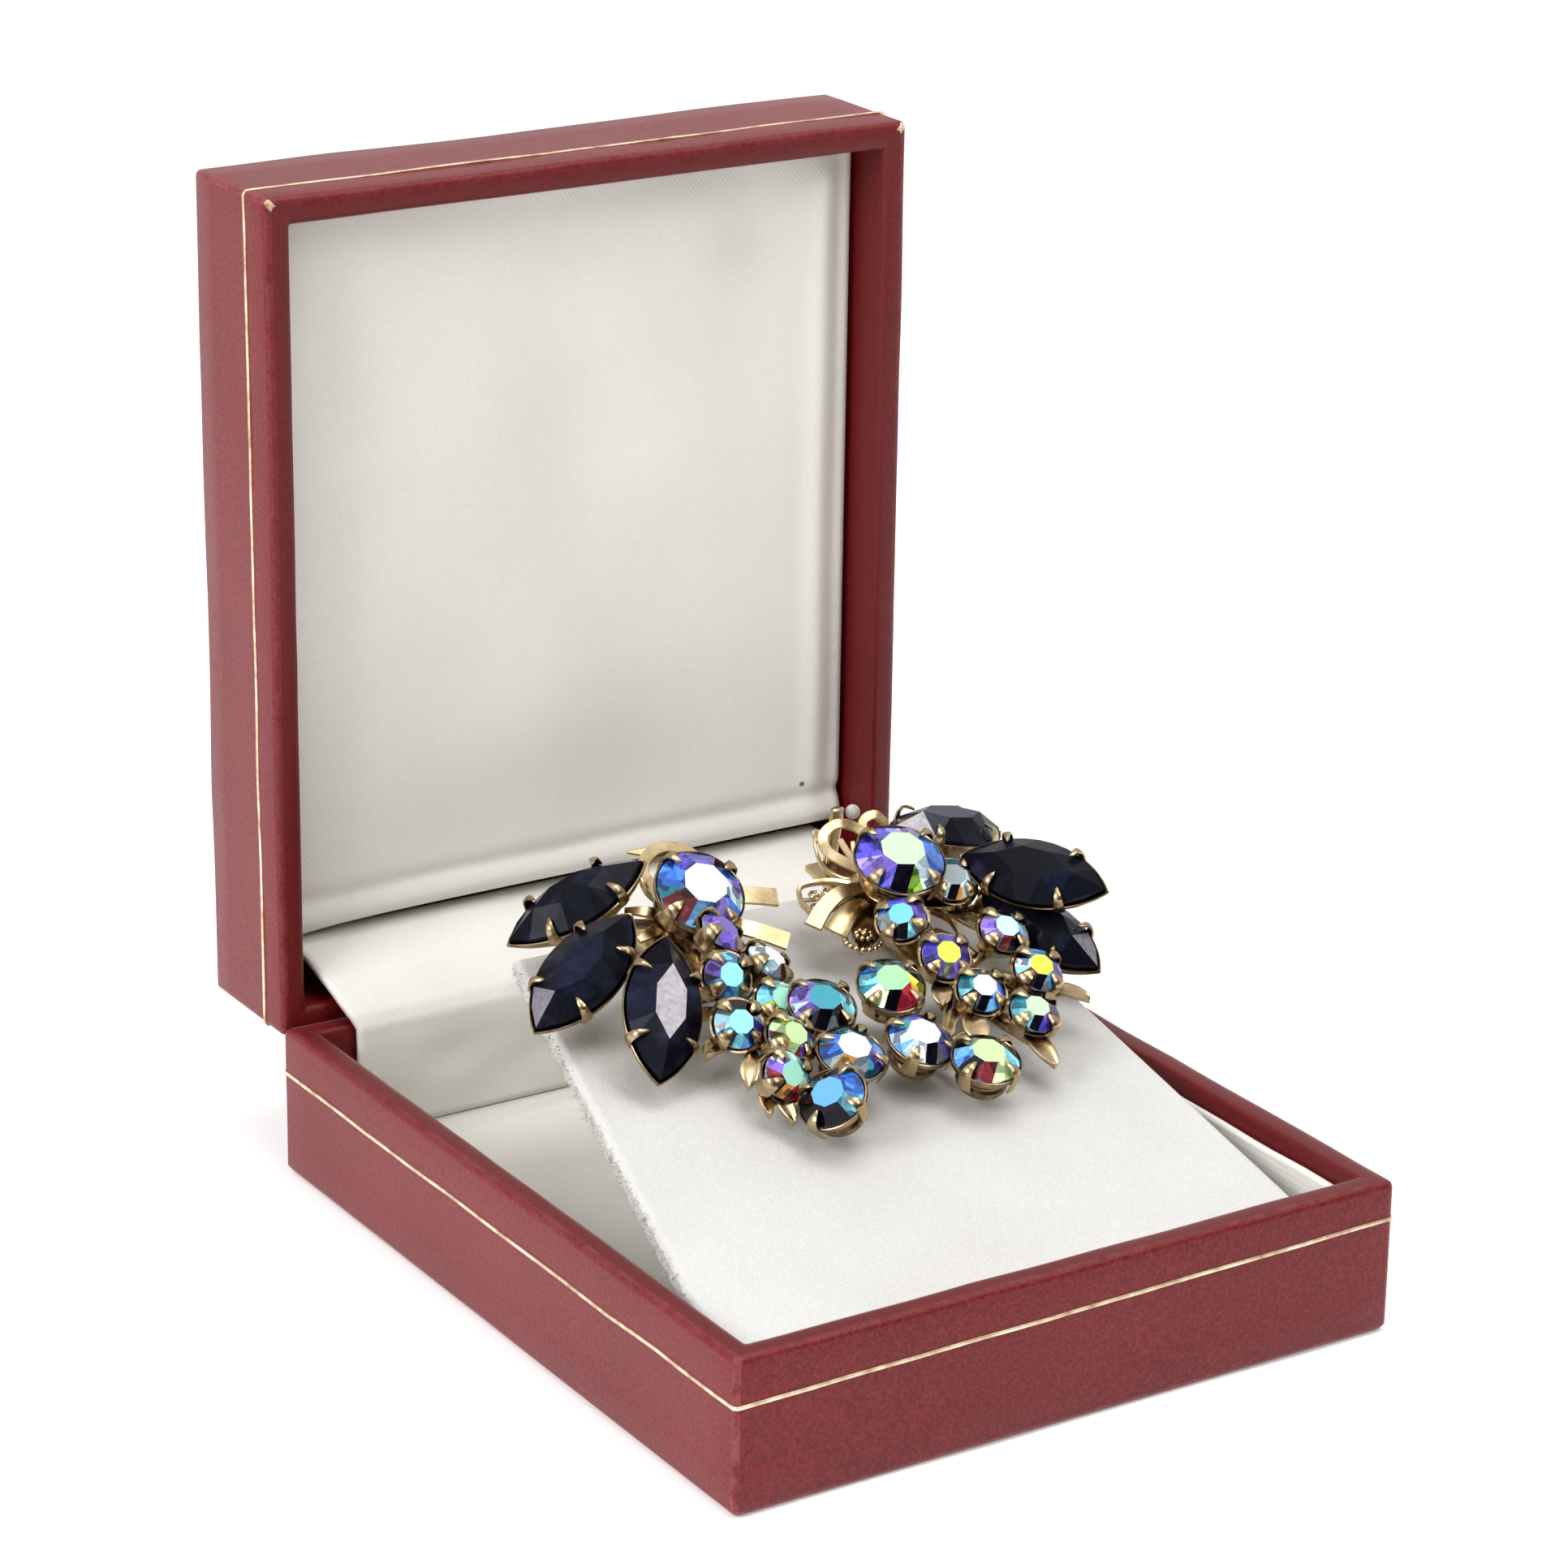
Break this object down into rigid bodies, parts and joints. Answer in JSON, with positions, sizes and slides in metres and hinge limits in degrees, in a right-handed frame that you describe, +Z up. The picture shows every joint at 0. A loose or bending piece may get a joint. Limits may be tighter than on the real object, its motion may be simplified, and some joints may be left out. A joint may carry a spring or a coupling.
{
  "type": "pair of rhinestone cluster clip earrings in a hinged jewel box",
  "caption": "Two mirrored spray clip earrings of navette and round iridescent stones with gold bows, on the white pad of a burgundy leatherette jewel box, lid open.",
  "frame": {"origin": "centre of the base's bottom face, on the table", "axes": "+X to the right along the front of the box, +Y from the front towards the hinge, +Z up"},
  "size_m": [0.09, 0.1247, 0.1232],
  "materials": {
    "burgundy_leatherette": "fine-grained, slightly glossy",
    "white_satin": "satin weave with a soft sheen",
    "white_velvet": "short matte pile",
    "antique_gold": "polished and antiqued, dark in the hollows",
    "navy_glass": "polished facets, foil-backed",
    "aurora_glass": "polished facets with an iridescent coat, foil-backed",
    "grey_rubber": "matte"
  },
  "bodies": {
    "root": {"base_lining": "white_satin", "base_tray": "burgundy_leatherette", "hinge_satin": "white_satin", "left_chaton_1": "aurora_glass", "left_chaton_2": "aurora_glass", "left_chaton_3": "aurora_glass", "left_chaton_4": "aurora_glass", "left_chaton_5": "aurora_glass", "left_chaton_6": "aurora_glass", "left_chaton_7": "aurora_glass", "left_chaton_crown": "aurora_glass", "left_clip": "antique_gold", "left_drop_1": "aurora_glass", "left_drop_2": "aurora_glass", "left_drop_3": "aurora_glass", "left_metal": "antique_gold", "left_navette_low": "navy_glass", "left_navette_middle": "navy_glass", "left_navette_top": "navy_glass", "pad": "white_velvet", "pad_support": "white_satin", "right_chaton_1": "aurora_glass", "right_chaton_2": "aurora_glass", "right_chaton_3": "aurora_glass", "right_chaton_4": "aurora_glass", "right_chaton_5": "aurora_glass", "right_chaton_6": "aurora_glass", "right_chaton_7": "aurora_glass", "right_chaton_crown": "aurora_glass", "right_clip": "antique_gold", "right_clip_cushion": "grey_rubber", "right_drop_1": "aurora_glass", "right_drop_2": "aurora_glass", "right_drop_3": "aurora_glass", "right_metal": "antique_gold", "right_navette_low": "navy_glass", "right_navette_middle": "navy_glass", "right_navette_top": "navy_glass"},
    "lid": {"lid_shell": "burgundy_leatherette", "lid_lining": "white_satin"}
  },
  "joints": [
    {"name": "lid_hinge", "type": "hinge", "parent": "root", "child": "lid", "pos_m": [0, 0.0521, 0.0183], "axis": [1, 0, 0], "range_deg": [0, 50], "deforming": ["hinge_satin"]}
  ]
}
